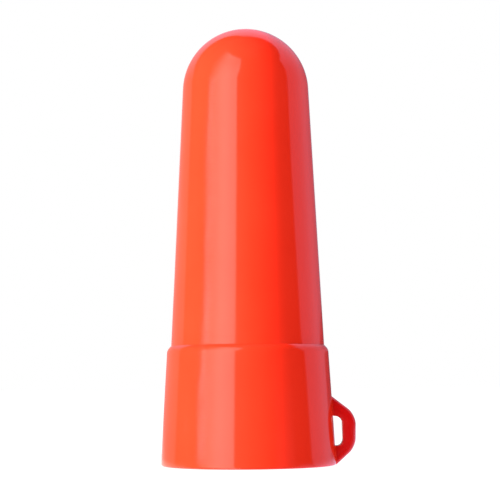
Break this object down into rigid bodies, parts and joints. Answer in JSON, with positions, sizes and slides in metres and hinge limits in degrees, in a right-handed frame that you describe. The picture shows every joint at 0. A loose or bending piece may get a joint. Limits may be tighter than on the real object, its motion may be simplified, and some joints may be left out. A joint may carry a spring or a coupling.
{
  "type": "torch signal cone",
  "caption": "Push-on red signal cone for a hand torch: a hollow domed cone in a stepped collar with a lanyard eye and a soft ring that grips the torch head.",
  "frame": {"origin": "centre of the collar's mouth, in the plane of its rim", "axes": "+Z along the cone's axis, from the mouth to the dome; +X towards the lanyard eye; +Y completes the right-handed frame"},
  "size_m": [0.0487, 0.0438, 0.1101],
  "materials": {
    "cone_plastic": "glossy, slightly translucent orange-red",
    "collar_plastic": "glossy, slightly translucent orange-red",
    "ring_rubber": "satin soft elastomer"
  },
  "bodies": {
    "root": {"signal_cone": "cone_plastic", "collar": "collar_plastic", "grip_ring": "ring_rubber"}
  },
  "joints": []
}
